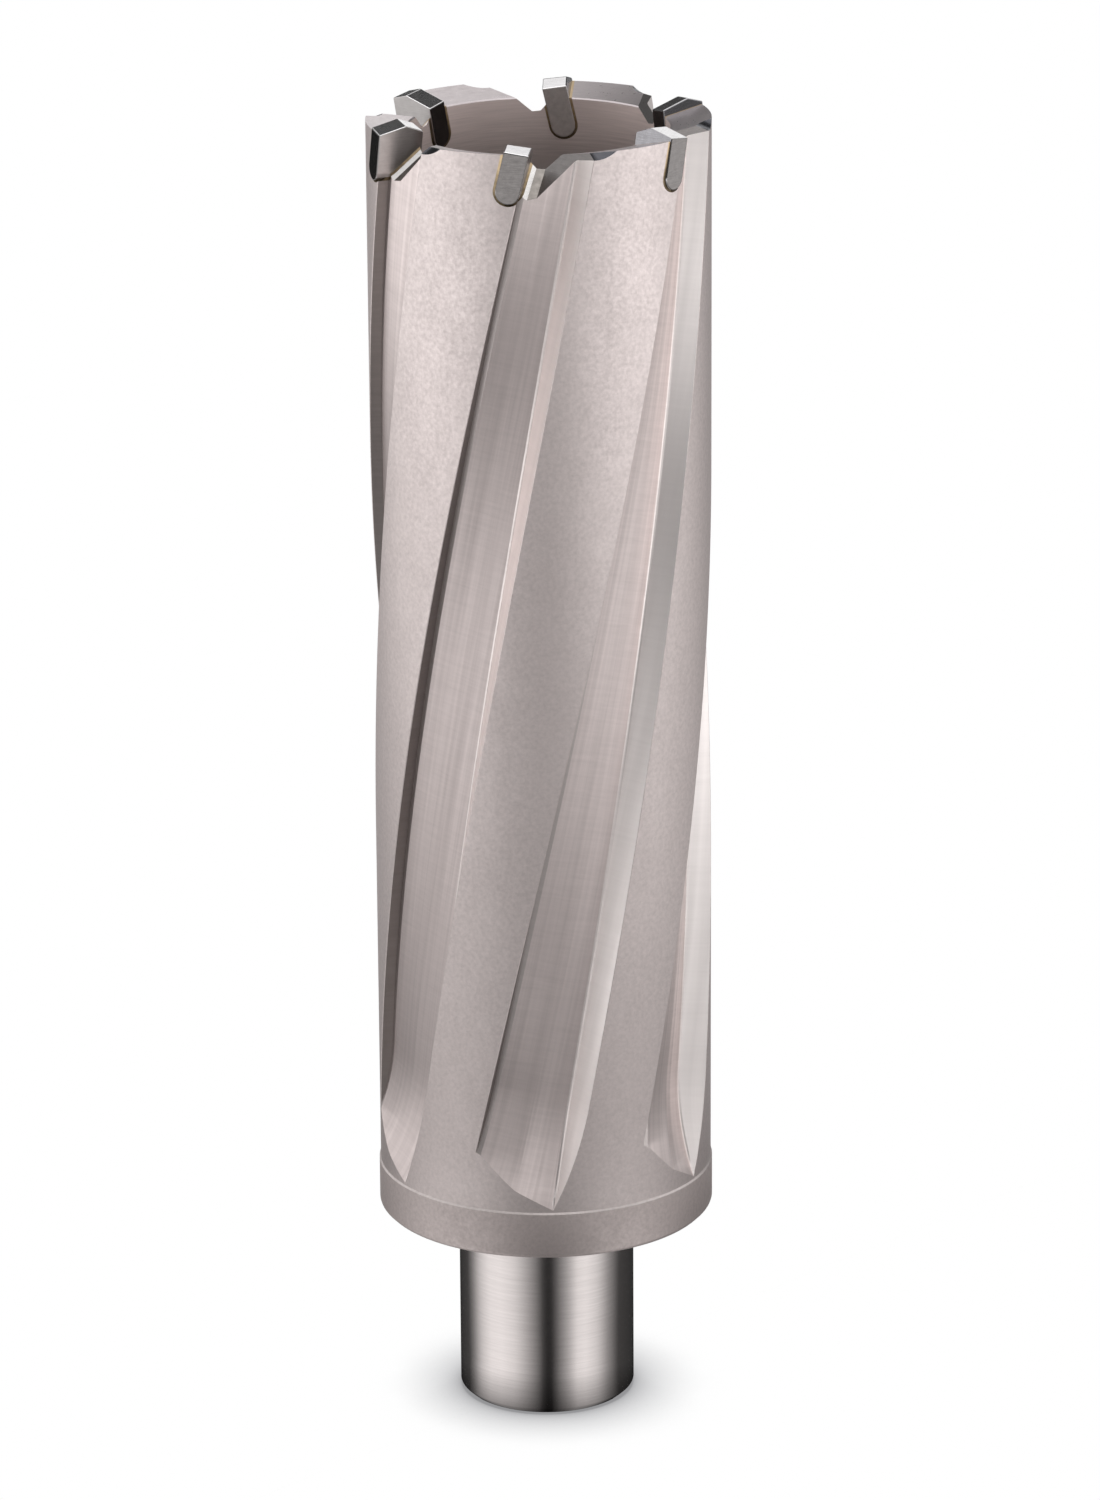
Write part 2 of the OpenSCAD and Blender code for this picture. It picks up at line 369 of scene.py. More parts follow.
def build_body(materials):
    """The body as rings joined in a loop: up the outside, over the rim and down the core and pilot hole."""
    rings = []
    zones = []

    def add(points, zone):
        rings.append(points)
        zones.append(zone)

    base = ring(COLLAR_Z)
    edge = TURNED_EDGE
    half = edge / 2
    turned = [
        (PILOT_R + PILOT_CHAMFER, 0.0, SHANK),
        (SHANK_R - SHANK_CHAMFER - edge, 0.0, SHANK),
        (SHANK_R - SHANK_CHAMFER + half, half, SHANK),
        (SHANK_R - half, SHANK_CHAMFER - half, SHANK),
        (SHANK_R, SHANK_CHAMFER + edge, SHANK),
        (SHANK_R, SHANK_H - GROOVE_START, SHANK),
        (SHANK_R - GROOVE_DEPTH, SHANK_H - GROOVE_FULL, SHANK),
        (SHANK_R - GROOVE_DEPTH, SHANK_H, COLLAR),
        (COLLAR_R - COLLAR_CHAMFER - edge, SHANK_H, COLLAR),
        (COLLAR_R - COLLAR_CHAMFER + half, SHANK_H + half, COLLAR),
        (COLLAR_R - half, SHANK_H + COLLAR_CHAMFER - half, COLLAR),
        (COLLAR_R, SHANK_H + COLLAR_CHAMFER + edge, COLLAR),
        (COLLAR_R, COLLAR_Z - COLLAR_STEP - STEP_EDGE, STEP),
    ]
    for radius, z, zone in turned:
        add(round_ring(base, radius, z), zone)
    for z in levels():
        add(ring(z), None)
    top = rim_ring()
    add(top, RIM)
    add(round_ring(top, CORE_R + RIM_EDGE, RIM_Z - (WALL_T - RIM_EDGE) * RIM_FALL), RIM)
    add(round_ring(top, CORE_R, RIM_Z - WALL_T * RIM_FALL - RIM_EDGE), CORE)
    core_top = RIM_Z - CORE_TOP_GAP
    core_low = CORE_Z + CORE_CHAMFER
    for k in range(CORE_STEPS + 1):
        z = core_top + (core_low - core_top) * k / CORE_STEPS
        add(round_ring(ring(max(z, COLLAR_Z)), CORE_R, z), CORE)
    for radius, z in (
        (CORE_R - CORE_CHAMFER, CORE_Z),
        (PILOT_R + PILOT_EDGE, CORE_Z),
        (PILOT_R, CORE_Z - PILOT_EDGE),
        (PILOT_R, PILOT_CHAMFER),
    ):
        add(round_ring(base, radius, z), CORE)

    count = ROW_LENGTH * TEETH
    verts = [p for r in rings for p in r]
    faces = []
    face_zones = []
    across = row_zones()
    for j in range(len(rings)):
        after = (j + 1) % len(rings)
        for k in range(count):
            beside = (k + 1) % count
            faces.append((j * count + k, j * count + beside, after * count + beside, after * count + k))
            zone = zones[j]
            face_zones.append(across[k % ROW_LENGTH] if zone is None else zone)
    body = make_object("smooth_body", verts, faces, face_zones, materials)
    clean(body)
    return body


def tooth_frame(tooth):
    """Turns the front of the object to a tooth's cutting wall at the rim."""
    return Matrix.Rotation(math.radians(TOOTH_START + tooth * PITCH), 4, "Z")


def tip_frame(tooth):
    """Moves a shape to the middle of a tip's slot at the rim, leaning with the helix."""
    turn = Matrix.Rotation(math.radians(-TIP_TURN), 4, "Z")
    rise = Matrix.Translation((0, 0, RIM_Z))
    tilt = Matrix.Rotation(math.radians(HELIX), 4, "Y")
    return tooth_frame(tooth) @ turn @ rise @ tilt


def prism(outline, length):
    """Closed prism of a plan outline, from z = 0 up to a length: both ends first, then each side."""
    count = len(outline)
    verts = [(x, y, 0.0) for x, y in outline] + [(x, y, length) for x, y in outline]
    faces = [tuple(range(count - 1, -1, -1)), tuple(range(count, 2 * count))]
    faces += [(k, (k + 1) % count, count + (k + 1) % count, count + k) for k in range(count)]
    return verts, faces


def cutter(name, places, verts, faces, zones, materials):
    """One cutting object with the same shape at several places, and a zone for each of its faces."""
    all_verts = []
    all_faces = []
    for place in places:
        start = len(all_verts)
        all_verts += [tuple(place @ Vector(v)) for v in verts]
        all_faces += [tuple(start + k for k in face) for face in faces]
    made = make_object(name, all_verts, all_faces, list(zones) * len(places), materials)
    clean(made)
    return made


def slot_cutter(materials):
    half = TIP_T / 2 + BRAZE_T
    outline = [(half, REACH), (-half, REACH)]
    for k in range(SLOT_STEPS + 1):
        angle = math.pi + math.pi * k / SLOT_STEPS
        outline.append((half * math.cos(angle), TIP_ROOT_Z + half * math.sin(angle)))
    verts, faces = prism(outline, WALL_T + 2 * REACH)
    place = Matrix.Translation((0, -CORE_R + REACH, 0)) @ Matrix.Rotation(math.pi / 2, 4, "X")
    places = [tip_frame(tooth) @ place for tooth in range(TEETH)]
    return cutter("slots", places, verts, faces, [SLOT] * len(faces), materials)


def gullet_cutter(materials):
    fall = math.radians(GULLET_FALL)
    half = TIP_T / 2
    root = half + GULLET_BEVEL + GULLET_FLAT
    far = root + GULLET_H / (math.cos(fall) * math.tan(math.radians(GULLET_RISE)))
    outline = [
        (half, GULLET_STEP),
        (half + GULLET_BEVEL, 0),
        (root, 0),
        (far, GULLET_H),
        (half, GULLET_H),
    ]
    verts, faces = prism(outline, REACH + (WALL_T + REACH) / math.cos(fall))
    place = (
        Matrix.Translation((0, -CORE_R, -GULLET_DEPTH))
        @ Matrix.Rotation(math.pi / 2 + fall, 4, "X")
        @ Matrix.Translation((0, 0, -REACH))
    )
    places = [tip_frame(tooth) @ place for tooth in range(TEETH)]
    zones = [GULLET, GULLET, STRIP, ROOT, GULLET, GULLET, GULLET]
    return cutter("gullets", places, verts, faces, zones, materials)


def scoop_cutter(materials):
    fall = math.radians(SCOOP_FALL)
    length = 4 * WALL_T
    outline = []
    for k in range(SCOOP_STEPS):
        angle = 2 * math.pi * k / SCOOP_STEPS
        outline.append((SCOOP_R * math.cos(angle), SCOOP_R * math.sin(angle)))
    verts, faces = prism(outline, length)
    place = (
        Matrix.Rotation(math.radians(FLUTE_W_TOP * DEG_PER_MM), 4, "Z")
        @ Matrix.Translation((0, -BODY_R, RIM_Z - SCOOP_DEPTH + SCOOP_R / math.cos(fall)))
        @ Matrix.Rotation(math.pi / 2 + fall, 4, "X")
        @ Matrix.Translation((0, 0, -length / 2))
    )
    places = [tooth_frame(tooth) @ place for tooth in range(TEETH)]
    return cutter("scoops", places, verts, faces, [SCOOP] * len(faces), materials)


def flat_cutter(materials):
    outline = [(-SHANK_R, -SHANK_R - REACH), (SHANK_R, -SHANK_R - REACH)]
    outline += [(SHANK_R, -SHANK_R + FLAT_DEPTH), (-SHANK_R, -SHANK_R + FLAT_DEPTH)]
    verts, faces = prism(outline, SHANK_H - FLAT_END - FLAT_GAP)
    places = []
    for side in (-1, 1):
        turn = Matrix.Rotation(math.radians(180 + side * FLAT_SPREAD / 2), 4, "Z")
        places.append(turn @ Matrix.Translation((0, 0, FLAT_END)))
    return cutter("flats", places, verts, faces, [SHANK] * len(faces), materials)


def cut(body, tool):
    """Takes a cutting object off the body, whose cut faces get the tool's zones."""
    modifier = body.modifiers.new("cut", "BOOLEAN")
    modifier.operation = "DIFFERENCE"
    modifier.solver = "EXACT"
    modifier.material_mode = "TRANSFER"
    modifier.object = tool
    apply_modifiers(body)
    bpy.data.objects.remove(tool)


def mark_sharp(made, angle):
    """Smooth faces, with sharp edges at corners over an angle in degrees and where two zones meet."""
    work = bmesh.new()
    work.from_mesh(made.data)
    for face in work.faces:
        face.smooth = True
    limit = math.radians(angle)
    for edge in work.edges:
        if len(edge.link_faces) != 2:
            edge.smooth = False
            continue
        one, other = edge.link_faces
        turn = edge.calc_face_angle(0.0)
        zones_differ = one.material_index != other.material_index and turn > math.radians(FLAT_TURN)
        edge.smooth = turn < limit and not zones_differ
    work.to_mesh(made.data)
    work.free()


def add_node(tree, kind, values=None, **settings):
    """A new shader node, with its settings made and its sockets set or linked."""
    made = tree.nodes.new("ShaderNode" + kind)
    for key, value in settings.items():
        setattr(made, key, value)
    for key, value in (values or {}).items():
        if isinstance(value, bpy.types.NodeSocket):
            tree.links.new(value, made.inputs[key])
        else:
            made.inputs[key].default_value = value
    return made


def math_node(tree, operation, one, other=0.0, third=0.0):
    values = {0: one, 1: other, 2: third}
    return add_node(tree, "Math", values, operation=operation).outputs["Value"]


def ramp(tree, value, stops):
    """A colour ramp over (position, colour) stops."""
    node = add_node(tree, "ValToRGB", {"Fac": value})
    points = node.color_ramp.elements
    while len(points) < len(stops):
        points.new(0.5)
    for point, (position, color) in zip(points, stops):
        point.position = position
        point.color = (*color, 1.0)
    return node.outputs["Color"]


# Spot sizes of the patterns in millimetres (x, y, z), and the share of the first of two mixed patterns
GRAIN_SLOW = (5.0, 5.0, 9.0)
GRAIN_FINE = (0.42, 0.42, 0.42)
GRAIN_SHARE = 0.3
TURNED_LINE = (6.0, 6.0, 0.22)
GROUND_LINE = (1.6, 1.6, 0.09)
GROUND_SPOT = (0.5, 0.5, 0.5)
GROUND_SHARE = 0.6
MOTTLE_SPOT = (0.6, 0.6, 0.6)
FLUTE_STREAK = (45.0, 0.75, 0.13)
FLUTE_MARK = (0.4, 5.0, 0.13)
STREAK_SHARE = 0.72
NOISE_DETAIL = 3.0
MOTTLE_DETAIL = 4.0
NOISE_ROUGHNESS = 0.6

# Heights between which a tone rises, the tones there, and the share of the pattern laid over it
# The bore's tones are painted shade, darker deeper in the core
BORE_RISE = (RIM_Z - 8, RIM_Z - 1)
BORE_SHADE_TONES = (0.12, 0.58)
BORE_SHARE = 0.25
BRAZE_RISE = (RIM_Z + TIP_RISE - TIP_H, RIM_Z)
BRAZE_TONES = (0.12, 0.62)
BRAZE_SHARE = 0.3

# Pattern values that give the darkest and the lightest colour, and how far the roughness follows
PATTERN_LOW = 0.3
PATTERN_HIGH = 0.7
GLOSS_SWING = 0.15


def noise(tree, place, size, detail=NOISE_DETAIL):
    """Noise with spots of the given size (x, y, z) in the units of place."""
    scale = tuple(1 / length for length in size)
    scaled = add_node(tree, "VectorMath", {0: place, 1: scale}, operation="MULTIPLY").outputs["Vector"]
    values = {"Vector": scaled, "Scale": 1.0, "Detail": detail, "Roughness": NOISE_ROUGHNESS}
    return add_node(tree, "TexNoise", values).outputs["Fac"]


def mix(tree, one, other, share):
    """Two patterns added, the first with the given share."""
    return math_node(tree, "MULTIPLY_ADD", one, share, math_node(tree, "MULTIPLY", other, 1 - share))


def object_mm(tree):
    """The place on the object in millimetres."""
    place = add_node(tree, "TexCoord").outputs["Object"]
    return add_node(tree, "VectorMath", {0: place, "Scale": 1 / MM}, operation="SCALE").outputs["Vector"]


def blasted_grain(tree):
    """Fine even grain with a little slow variation under it."""
    place = object_mm(tree)
    return mix(tree, noise(tree, place, GRAIN_SLOW), noise(tree, place, GRAIN_FINE), GRAIN_SHARE)


def turned_lines(tree):
    """Fine lines that run round the axis."""
    return noise(tree, object_mm(tree), TURNED_LINE)


def ground_lines(tree):
    """Fine grinding lines on the small faces of the rim and the tips."""
    place = object_mm(tree)
    return mix(tree, noise(tree, place, GROUND_LINE), noise(tree, place, GROUND_SPOT), GROUND_SHARE)


def mottled(tree):
    """Uneven spots, as on a filler that has flowed and set."""
    return noise(tree, object_mm(tree), MOTTLE_SPOT, MOTTLE_DETAIL)


def rising(tree, pattern, share, heights, tones):
    """A pattern laid over a tone that rises between two heights."""
    height = add_node(tree, "SeparateXYZ", {"Vector": object_mm(tree)}).outputs["Z"]
    ends = {"From Min": heights[0], "From Max": heights[1], "To Min": tones[0], "To Max": tones[1]}
    level = add_node(tree, "MapRange", {"Value": height, **ends}).outputs["Result"]
    return math_node(tree, "MULTIPLY_ADD", pattern(tree), share, level)


def bore_painted_shade(tree):
    """Turned grain over painted shade that darkens deeper in the core."""
    return rising(tree, turned_lines, BORE_SHARE, BORE_RISE, BORE_SHADE_TONES)


def braze_tones(tree):
    """Darker towards the root of a seam and lighter towards the rim."""
    return rising(tree, mottled, BRAZE_SHARE, BRAZE_RISE, BRAZE_TONES)


def flute_marks(tree):
    """Streaks along each flute with finer tool marks across it."""
    apart = add_node(tree, "SeparateXYZ", {"Vector": object_mm(tree)})
    toward = math_node(tree, "MULTIPLY", apart.outputs["Y"], -1.0)
    angle = math_node(tree, "ARCTAN2", apart.outputs["X"], toward)
    twist = math.radians(FLUTE_TWIST) / FLUTE_H
    start = math.radians(TOOTH_START) - twist * RIM_Z
    edge = math_node(tree, "MULTIPLY_ADD", apart.outputs["Z"], twist, start)
    turns = math_node(tree, "DIVIDE", math_node(tree, "SUBTRACT", angle, edge), math.radians(PITCH))
    tooth = math_node(tree, "FLOORED_MODULO", math_node(tree, "FLOOR", turns), TEETH)
    across = math_node(tree, "MULTIPLY", math_node(tree, "FRACT", turns), PITCH_S)
    along = math_node(tree, "MULTIPLY_ADD", across, LEAN, apart.outputs["Z"])
    place = add_node(tree, "CombineXYZ", {"X": along, "Y": across, "Z": tooth}).outputs["Vector"]
    return mix(tree, noise(tree, place, FLUTE_STREAK), noise(tree, place, FLUTE_MARK), STREAK_SHARE)


def metal(name, color, roughness, pattern, swing, relief):
    """Metal whose colour, gloss and surface follow a pattern.

    The swing of the colour is a share, and the relief of the surface is in millimetres."""
    material = bpy.data.materials.new(name)
    material.use_nodes = True
    tree = material.node_tree
    shader = tree.nodes["Principled BSDF"]
    shader.inputs["Metallic"].default_value = 1.0
    value = pattern(tree)
    dark = tuple(part * (1 - swing) for part in color)
    light = tuple(min(part * (1 + swing), 1.0) for part in color)
    stops = [(PATTERN_LOW, dark), (PATTERN_HIGH, light)]
    tree.links.new(ramp(tree, value, stops), shader.inputs["Base Color"])
    gloss = {
        "Value": value,
        "From Min": PATTERN_LOW,
        "From Max": PATTERN_HIGH,
        "To Min": roughness * (1 + GLOSS_SWING),
        "To Max": roughness * (1 - GLOSS_SWING),
    }
    tree.links.new(add_node(tree, "MapRange", gloss).outputs["Result"], shader.inputs["Roughness"])
    surface = add_node(tree, "Bump", {"Height": value, "Strength": 1.0, "Distance": relief * MM})
    tree.links.new(surface.outputs["Normal"], shader.inputs["Normal"])
    return material


# Finish and painted light of each zone in order: name, colour, roughness, pattern, swing of the colour,
# depth of the marks. Some colours hold painted shade and some painted highlights, as noted at their rows.
FINISHES_AND_PAINTED_LIGHT = [
    ("land", (0.68, 0.605, 0.59), 0.46, blasted_grain, 0.10, 0.006),
    # painted shade: the flute's wall, and the ledge beside it, are darker than the land and floor of the
    # same steel
    ("wall", (0.28, 0.25, 0.24), 0.40, flute_marks, 0.15, 0.003),
    ("ledge", (0.56, 0.505, 0.49), 0.40, flute_marks, 0.10, 0.003),
    ("floor", (0.655, 0.575, 0.56), 0.38, flute_marks, 0.14, 0.004),
    ("floor_far", (0.655, 0.575, 0.56), 0.38, flute_marks, 0.14, 0.004),
    # painted highlight: the facet is lighter than the rest of the flute of the same steel
    ("facet", (0.925, 0.862, 0.842), 0.41, flute_marks, 0.06, 0.002),
    ("shank", (0.78, 0.72, 0.705), 0.15, turned_lines, 0.05, 0.0006),
    ("core", (0.77, 0.68, 0.655), 0.64, bore_painted_shade, 0.30, 0.004),
    ("rim", (0.66, 0.60, 0.605), 0.30, ground_lines, 0.08, 0.001),
    ("slot", (0.30, 0.27, 0.25), 0.50, mottled, 0.15, 0.004),
    # painted highlight on the strip, painted shade on the root and the gullet, and a painted dark
    # reflection on the scoop
    ("strip", (0.90, 0.87, 0.85), 0.22, ground_lines, 0.06, 0.0008),
    ("root", (0.30, 0.275, 0.255), 0.34, mottled, 0.15, 0.002),
    ("gullet", (0.21, 0.195, 0.19), 0.30, ground_lines, 0.15, 0.001),
    ("scoop", (0.125, 0.125, 0.14), 0.22, ground_lines, 0.12, 0.0008),
    ("step", (0.60, 0.545, 0.53), 0.46, blasted_grain, 0.10, 0.004),
    # painted highlight: the toe fillet is lighter than the floor it rounds
    ("toe", (0.82, 0.75, 0.73), 0.37, flute_marks, 0.12, 0.003),
    ("collar", (0.60, 0.53, 0.515), 0.56, blasted_grain, 0.10, 0.006),
]
body_steel = [metal("steel_" + name, *finish) for name, *finish in FINISHES_AND_PAINTED_LIGHT]
carbide_fronts = metal("carbide_fronts", (0.56, 0.53, 0.52), 0.32, ground_lines, 0.10, 0.0008)
carbide_lit_tops = metal("carbide_lit_tops", (0.80, 0.785, 0.79), 0.14, ground_lines, 0.08, 0.0005)
carbide_shaded_sides = metal("carbide_shaded_sides", (0.20, 0.187, 0.183), 0.17, ground_lines, 0.18, 0.001)
carbide_lit_inside = metal("carbide_lit_inside", (0.60, 0.56, 0.54), 0.45, mottled, 0.10, 0.001)
carbide_backs = metal("carbide_backs", (0.44, 0.43, 0.45), 0.2, ground_lines, 0.18, 0.001)
carbide_shaded_inside = metal("carbide_shaded_inside", (0.07, 0.066, 0.066), 0.2, ground_lines, 0.18, 0.001)
braze = metal("braze", (0.42, 0.32, 0.20), 0.38, braze_tones, 0.72, 0.004)

body = build_body(body_steel)
for make_tool in (slot_cutter, gullet_cutter, scoop_cutter, flat_cutter):
    cut(body, make_tool(body_steel))
mark_sharp(body, BODY_SHARP)
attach(body, "root")
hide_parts("cutter_body")


def bevelled_tip(name, node, inner_side):
    """The CAD tip with its edges broken, and a tone for each side that paints highlights on the tops and
    shade on the outsides.
    """
    work = bmesh.new()
    work.from_mesh(node.data)
    bmesh.ops.remove_doubles(work, verts=work.verts, dist=TIP_MERGE_GAP * MM)
    flat = math.radians(FLAT_TURN)
    bmesh.ops.dissolve_limit(work, angle_limit=flat, verts=work.verts, edges=work.edges)
    corners = [edge for edge in work.edges if edge.calc_face_angle(0.0) > math.radians(TIP_CORNER)]
    bmesh.ops.bevel(
        work,
        geom=corners,
        offset=TIP_EDGE * MM,
        segments=TIP_EDGE_STEPS,
        profile=0.5,
        affect="EDGES",
        clamp_overlap=True,
    )
    mesh = bpy.data.meshes.new(name)
    work.to_mesh(mesh)
    work.free()
    for material in (carbide_fronts, carbide_lit_tops, carbide_shaded_sides, inner_side, carbide_backs):
        mesh.materials.append(material)
    middle = sum((vert.co for vert in mesh.vertices), Vector()) / len(mesh.vertices)
    outward = Vector((middle.x, middle.y, 0)).normalized()
    backward = outward.cross(Vector((0, 0, 1)))
    # Tones by the way a face turns: painted highlight on faces turned up, painted shade on faces turned out
    for face in mesh.polygons:
        if face.normal.z > UP_LIMIT:
            face.material_index = TIP_TOP
        elif face.normal.dot(outward) > SIDE_LIMIT:
            face.material_index = TIP_OUTSIDE
        elif face.normal.dot(outward) < -SIDE_LIMIT:
            face.material_index = TIP_INSIDE
        elif face.normal.dot(backward) > SIDE_LIMIT:
            face.material_index = TIP_BACK
        else:
            face.material_index = TIP_FRONT
    piece = bpy.data.objects.new(name, mesh)
    bpy.context.collection.objects.link(piece)
    mark_sharp(piece, TIP_SHARP)
    return piece


for name, node in list(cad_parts.items()):
    if name.startswith("carbide_tip"):
        # The inner sides are painted light and shade by the tip's number: lit on even tips, shaded on odd
        # tips
        peak_inside = int(name.split("_")[-1]) % 2 == 0
        inner_side = carbide_lit_inside if peak_inside else carbide_shaded_inside
        piece = bevelled_tip(name.replace("carbide", "ground"), node, inner_side)
        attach(piece, "root")
        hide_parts(name)
    elif name.startswith("braze_seam"):
        node.data.materials.clear()
        node.data.materials.append(braze)


# Stage: a white floor and sky, and cards that give the metal its light and dark sides
def seen_directly(tree):
    """1 for the rays that show the stage itself: to the camera, in reflections and through glass."""
    path = add_node(tree, "LightPath")
    seen = math_node(tree, "MAXIMUM", path.outputs["Is Camera Ray"], path.outputs["Is Glossy Ray"])
    return math_node(tree, "MAXIMUM", seen, path.outputs["Is Transmission Ray"])


def stage_mesh(name, verts, faces, material):
    mesh = bpy.data.meshes.new(name)
    mesh.from_pydata(verts, [], faces)
    mesh.materials.append(material)
    made = bpy.data.objects.new(name, mesh)
    bpy.context.collection.objects.link(made)
    return made


# The floor is white, with a painted shadow: a soft dark ring from ambient occlusion where the object stands
# close to it
FLOOR_HALF = 4.0
FLOOR_TONE = (0.93, 0.93, 0.93, 1)
PAINTED_SHADOW_REACH = 0.016
PAINTED_SHADOW_SAMPLES = 24
PAINTED_SHADOW_TONES = [(0.45, (0.30, 0.30, 0.31)), (0.65, (0.60, 0.60, 0.61)), (0.88, (1, 1, 1))]
floor_white = bpy.data.materials.new("floor_white")
floor_white.use_nodes = True
tree = floor_white.node_tree
tree.nodes.clear()
near = add_node(tree, "AmbientOcclusion", {"Distance": PAINTED_SHADOW_REACH}, samples=PAINTED_SHADOW_SAMPLES)
painted_shadow = ramp(tree, near.outputs["AO"], PAINTED_SHADOW_TONES)
glow = add_node(tree, "Emission", {"Color": painted_shadow}).outputs["Emission"]
matt = add_node(tree, "BsdfDiffuse", {"Color": FLOOR_TONE}).outputs["BSDF"]
both = add_node(tree, "MixShader", {"Fac": seen_directly(tree), 1: matt, 2: glow})
add_node(tree, "OutputMaterial", {"Surface": both.outputs["Shader"]})
corners = [(x * FLOOR_HALF, y * FLOOR_HALF, 0) for x, y in ((-1, -1), (1, -1), (1, 1), (-1, 1))]
stage_mesh("floor", corners, [(0, 1, 2, 3)], floor_white)

# The sky is white to the eye and in reflections, and dimmer as a light
SKY_LIGHT = 0.8
world = bpy.data.worlds.new("studio")
bpy.context.scene.world = world
world.use_nodes = True
tree = world.node_tree
level = add_node(tree, "MapRange", {"Value": seen_directly(tree), "To Min": SKY_LIGHT, "To Max": 1.0})
background = tree.nodes["Background"]
background.inputs["Color"].default_value = (1, 1, 1, 1)
tree.links.new(level.outputs["Result"], background.inputs["Strength"])

# A broad weak lamp overhead
LAMP_POWER = 0.25
LAMP_SPREAD = math.radians(40)
lamp_data = bpy.data.lights.new("overhead", "SUN")
lamp_data.energy = LAMP_POWER
lamp_data.angle = LAMP_SPREAD
lamp = bpy.data.objects.new("overhead", lamp_data)
bpy.context.collection.objects.link(lamp)

# Angle at which the camera looks down, and the steps across the cards: in degrees, and as a number
CAMERA_ELEVATION = math.radians(17.96)
FLOOR_CARD_STEP = 3
ROUND_CARD_STEPS = 24


def between(stops, x):
    """The value at x on straight lines between (place, value) stops."""
    for (x0, v0), (x1, v1) in zip(stops, stops[1:]):
        if x <= x1:
            return v0 + (v1 - v0) * max(x - x0, 0.0) / (x1 - x0)
    return stops[-1][1]


def reflection_card(name, rows):
    """A card that only reflections see, from rows of (place, tone) points."""
    across = len(rows[0])
    points = [point for row in rows for point in row]
    faces = []
    for j in range(len(rows) - 1):
        for k in range(across - 1):
            first = j * across + k
            faces.append((first, first + 1, first + across + 1, first + across))
    material = bpy.data.materials.new(name + "_tones")
    material.use_nodes = True
    tree = material.node_tree
    tree.nodes.clear()
    tone = add_node(tree, "Attribute", attribute_name="tone")
    glow = add_node(tree, "Emission", {"Color": tone.outputs["Color"]})
    add_node(tree, "OutputMaterial", {"Surface": glow.outputs["Emission"]})
    card = stage_mesh(name, [place for place, _ in points], faces, material)
    layer = card.data.color_attributes.new("tone", "FLOAT_COLOR", "POINT")
    for corner, (_, value) in zip(layer.data, points):
        corner.color = (value, value, value, 1.0)
    card.visible_camera = False
    card.visible_diffuse = False
    card.visible_shadow = False
    card.visible_transmission = False


def floor_rows(radius, rise, heights, tones, rises):
    """Rows of a floor card, laid along the lines of sight that a round wall turns to the floor.

    The tone is set by the height on the wall, and by its side in degrees from the front: tones holds
    (height, (side, tone) stops) pairs, and rises holds (height, weight) stops. The card lies at the
    given rise over the floor, so that cards that overlap stay apart."""
    first, last = tones[0][1][0][0], tones[0][1][-1][0]
    rows = []
    for height in heights:
        reach = height / math.tan(CAMERA_ELEVATION)
        row = []
        for side in range(first, last + 1, FLOOR_CARD_STEP):
            a = math.radians(side)
            x = radius * math.sin(a) + reach * math.sin(2 * a)
            y = -radius * math.cos(a) - reach * math.cos(2 * a)
            tone = between([(level, between(stops, side)) for level, stops in tones], height)
            row.append(((x * MM, y * MM, rise * MM), tone * between(rises, height)))
        rows.append(row)
    return rows


def round_rows(sides, path):
    """Rows of a card round the object, from (side, tone) stops in degrees.

    The path holds (radius, height, weight) with the lengths in metres; the lower the weight, the whiter."""
    first, last = sides[0][0], sides[-1][0]
    rows = []
    for radius, height, weight in path:
        row = []
        for k in range(ROUND_CARD_STEPS + 1):
            side = first + (last - first) * k / ROUND_CARD_STEPS
            a = math.radians(side)
            tone = 1 - weight * (1 - between(sides, side))
            row.append(((radius * math.sin(a), -radius * math.cos(a), height), tone))
        rows.append(row)
    return rows


# Floor cards: tones by side, weights by height, the heights ruled and the rise over the floor
SHANK_SIDES = [
    (-90, 0.02), (-66, 0.06), (-59, 0.24), (-50, 0.72), (-42, 0.97), (-33, 1.0), (-23, 0.84), (-12, 0.4),
    (-2, 0.02), (4, 0.03), (14, 0.45), (21, 0.9), (27, 0.97), (35, 0.8), (46, 0.3), (56, 0.06), (90, 0.02),
]
SHANK_RISES = [(-0.4, 0.1), (0.6, 0.5), (2, 1.0), (30, 1.0)]
SHANK_HEIGHTS = [-0.4, 0.6, 2, 5, 10, 16, 23.5]
SHANK_CARD_RISE = 0.05
LOW_SIDES = [
    (-90, 0.35), (-70, 0.4), (-45, 0.74), (-25, 0.86), (3, 0.3),
    (25, 0.64), (45, 0.58), (65, 0.56), (80, 0.5), (90, 0.35),
]
HIGH_SIDES = [
    (-90, 0.2), (-75, 0.35), (-50, 0.9), (-30, 1.1), (-20, 1.02), (3, 0.16),
    (22, 0.95), (30, 1.15), (42, 1.0), (60, 0.37), (72, 0.14), (90, 0.05),
]
TOP_SIDES = [
    (-90, 0.2), (-75, 0.35), (-50, 0.8), (-30, 1.1), (-18, 1.15), (-4, 0.25), (8, 0.05),
    (18, 1.2), (30, 1.2), (42, 1.0), (60, 0.37), (72, 0.14), (90, 0.05),
]
BODY_TONES = [(20, LOW_SIDES), (140, HIGH_SIDES), (195, TOP_SIDES)]
BODY_RISES = [(20, 0.38), (45, 0.6), (75, 0.9), (105, 1.15), (140, 1.65), (195, 2.0), (420, 2.0)]
BODY_HEIGHTS = [20, 25, 32, 45, 60, 80, 105, 140, 195, 420]
BODY_CARD_RISE = 0.04
TIP_SIDES = [(-81, 0.02), (-63, 0.02)]
TIP_HEIGHTS = [150, 210, 400]
TIP_CARD_RISE = 0.06
RUNOUT_SIDES = [(-6, 0.88), (12, 0.88)]
RUNOUT_HEIGHTS = [29, 36, 43]
RUNOUT_CARD_RISE = 0.05
STEADY = [(0, 1.0)]

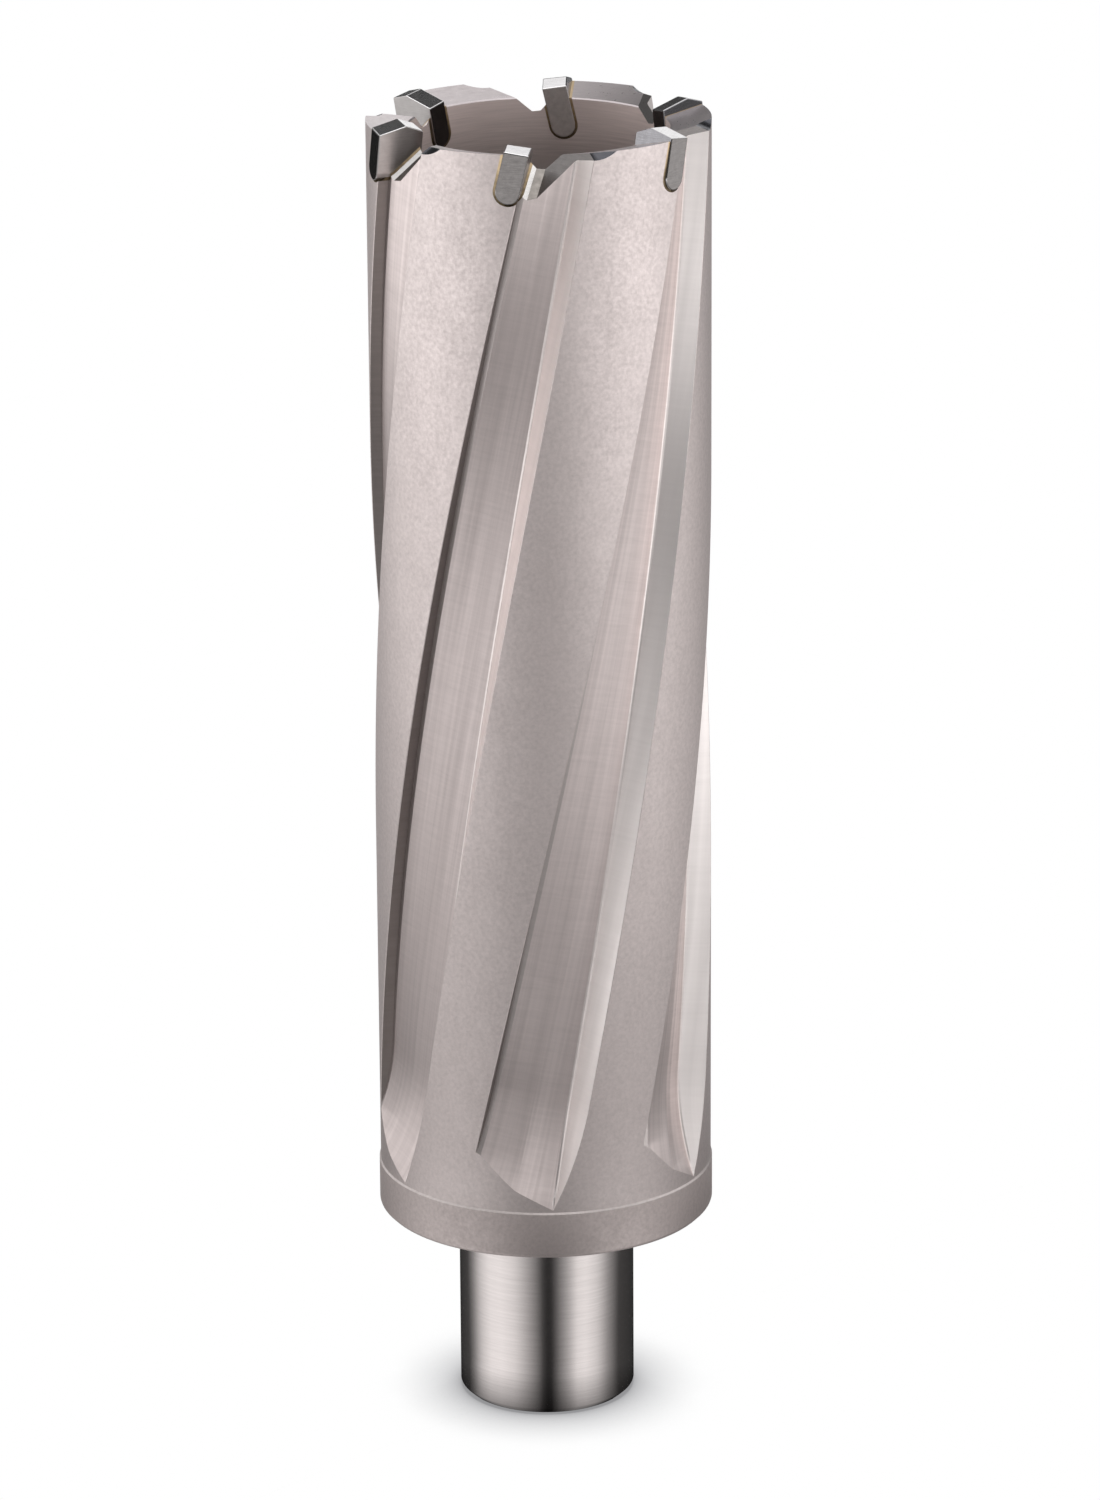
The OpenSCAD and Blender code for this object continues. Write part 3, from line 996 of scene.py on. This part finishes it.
# Cards round the object: tones by side, and their paths
FRONT_SIDES = [
    (-75, 1.0), (-62, 0.8), (-50, 0.0), (-5, 0.0), (6, 1.0), (28, 1.0), (35, 0.08), (55, 0.08), (62, 1.0),
]
FRONT_PATH = [(1.25, 0.0, 1.0), (1.25, 0.7, 1.0), (1.25, 1.1, 0.5), (1.25, 1.6, 0.0)]
BACK_SIDES = [(179, 0.7), (183, 0.06), (205, 0.06), (215, 0.4)]
BACK_PATH = [(1.3, 0.2, 1.0), (1.3, 1.25, 1.0)]
SKYLINE_SIDES = [(150, 0.5), (165, 0.1), (195, 0.1), (210, 0.5)]
SKYLINE_PATH = [(1.35, 0.0, 1.0), (1.35, 0.2, 1.0)]
CORNER_SIDES = [(140, 0.4), (146, 0.04), (169, 0.04), (170.5, 0.7)]
CORNER_PATH = [(1.3, 1.0, 1.0), (1.3, 2.0, 1.0)]
LIMB_SIDES = [(125, 0.7), (138, 0.1), (160, 0.1), (166, 0.8)]
LIMB_PATH = [(1.4, 0.0, 1.0), (1.4, 0.8, 1.0)]

FLOOR_CARDS = [
    ("shank_card", SHANK_R, SHANK_CARD_RISE, SHANK_HEIGHTS, [(0, SHANK_SIDES)], SHANK_RISES),
    ("body_card", BODY_R, BODY_CARD_RISE, BODY_HEIGHTS, BODY_TONES, BODY_RISES),
    ("tip_card", BODY_R, TIP_CARD_RISE, TIP_HEIGHTS, [(0, TIP_SIDES)], STEADY),
    ("runout_card", BODY_R, RUNOUT_CARD_RISE, RUNOUT_HEIGHTS, [(0, RUNOUT_SIDES)], STEADY),
]
ROUND_CARDS = [
    ("front_card", FRONT_SIDES, FRONT_PATH),
    ("back_card", BACK_SIDES, BACK_PATH),
    ("skyline_card", SKYLINE_SIDES, SKYLINE_PATH),
    ("limb_card", LIMB_SIDES, LIMB_PATH),
    ("corner_card", CORNER_SIDES, CORNER_PATH),
]
for name, *card in FLOOR_CARDS:
    reflection_card(name, floor_rows(*card))
for name, *card in ROUND_CARDS:
    reflection_card(name, round_rows(*card))

# Camera at the photograph's viewing angle
CAMERA_DISTANCE = 0.7084
CAMERA_ROLL = math.radians(-0.41)
AIM_Z = 0.07317
FOCAL_PX = 6615.0
IMAGE_W = 1100
IMAGE_H = 1500
CENTRE_X_PX = 543.0
SENSOR = 36.0
CLIP_START = 0.01
camera_data = bpy.data.cameras.new("camera")
camera_data.sensor_width = SENSOR
camera_data.lens = FOCAL_PX * SENSOR / IMAGE_H
camera_data.shift_x = (IMAGE_W / 2 - CENTRE_X_PX) / IMAGE_H
camera_data.clip_start = CLIP_START
camera = bpy.data.objects.new("camera", camera_data)
bpy.context.collection.objects.link(camera)
aim = Vector((0, 0, AIM_Z))
place = aim + CAMERA_DISTANCE * Vector((0, -math.cos(CAMERA_ELEVATION), math.sin(CAMERA_ELEVATION)))
look = (aim - place).to_track_quat("-Z", "Y").to_matrix().to_4x4()
camera.matrix_world = Matrix.Translation(place) @ look @ Matrix.Rotation(CAMERA_ROLL, 4, "Z")
bpy.context.scene.camera = camera

bpy.context.scene.view_settings.view_transform = "Standard"
